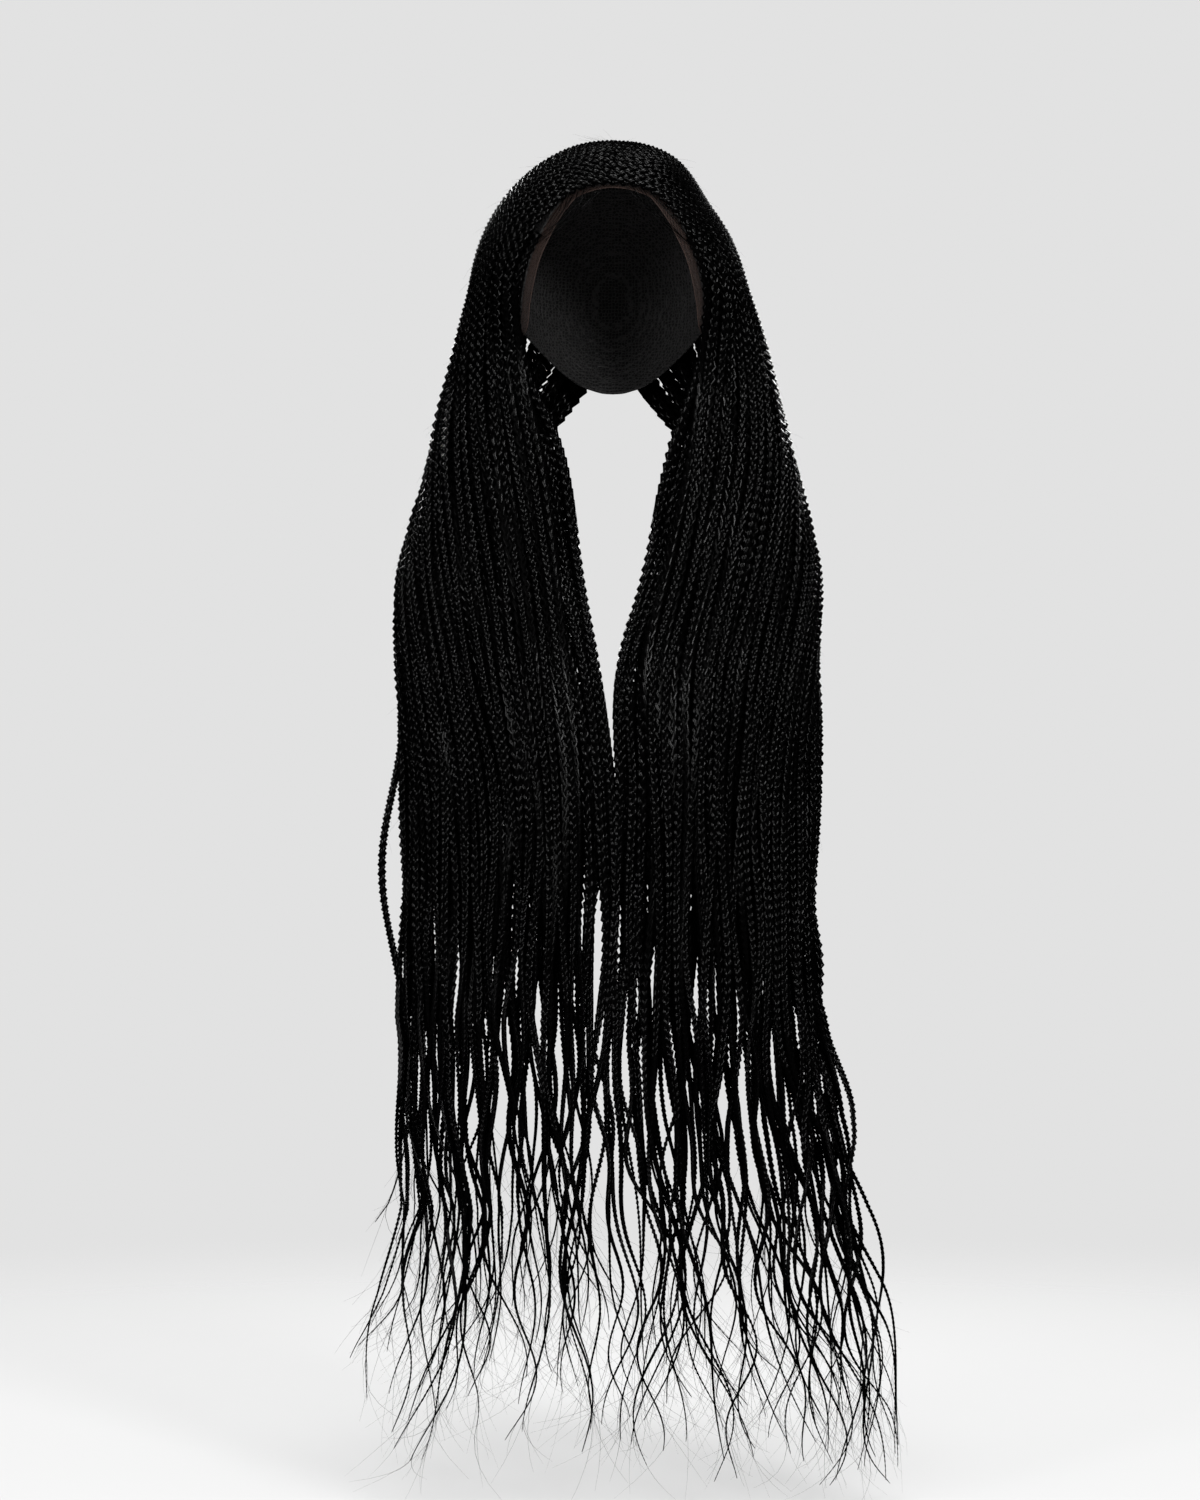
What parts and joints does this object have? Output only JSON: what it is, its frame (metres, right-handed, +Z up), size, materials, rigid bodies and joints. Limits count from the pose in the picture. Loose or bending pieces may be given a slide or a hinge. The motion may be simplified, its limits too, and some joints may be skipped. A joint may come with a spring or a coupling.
{
  "type": "braided wig",
  "caption": "Long black braided wig: a stretch net cap with a lace front, braids laid from a centre part and two curtains of braid locks that hang in front of the shoulders.",
  "frame": {"origin": "inside of the cap's top, where the crown of the head touches it", "axes": "+Z up, the face looks along -Y, +X to the right as seen from in front"},
  "size_m": [0.3543, 0.2298, 0.9043],
  "materials": {
    "braids": "black synthetic hair fibre with a low sheen, plaited in three strands",
    "net_cap": "black stretch net",
    "lace": "sheer brown lace"
  },
  "bodies": {
    "root": {"cap": "net_cap", "lace_front": "lace", "crown_braids_left": "braids", "crown_braids_right": "braids", "lock_left_outer_01": "braids", "lock_left_outer_02": "braids", "lock_left_outer_03": "braids", "lock_left_outer_04": "braids", "lock_left_outer_05": "braids", "lock_left_outer_06": "braids", "lock_left_outer_07": "braids", "lock_left_outer_08": "braids", "lock_left_outer_09": "braids", "lock_left_outer_10": "braids", "lock_left_outer_11": "braids", "lock_left_outer_12": "braids", "lock_left_inner_01": "braids", "lock_left_inner_02": "braids", "lock_left_inner_03": "braids", "lock_left_inner_04": "braids", "lock_left_inner_05": "braids", "lock_left_inner_06": "braids", "lock_left_inner_07": "braids", "lock_left_inner_08": "braids", "lock_right_outer_01": "braids", "lock_right_outer_02": "braids", "lock_right_outer_03": "braids", "lock_right_outer_04": "braids", "lock_right_outer_05": "braids", "lock_right_outer_06": "braids", "lock_right_outer_07": "braids", "lock_right_outer_08": "braids", "lock_right_outer_09": "braids", "lock_right_outer_10": "braids", "lock_right_outer_11": "braids", "lock_right_outer_12": "braids", "lock_right_inner_01": "braids", "lock_right_inner_02": "braids", "lock_right_inner_03": "braids", "lock_right_inner_04": "braids", "lock_right_inner_05": "braids", "lock_right_inner_06": "braids", "lock_right_inner_07": "braids", "lock_right_inner_08": "braids"}
  },
  "joints": []
}
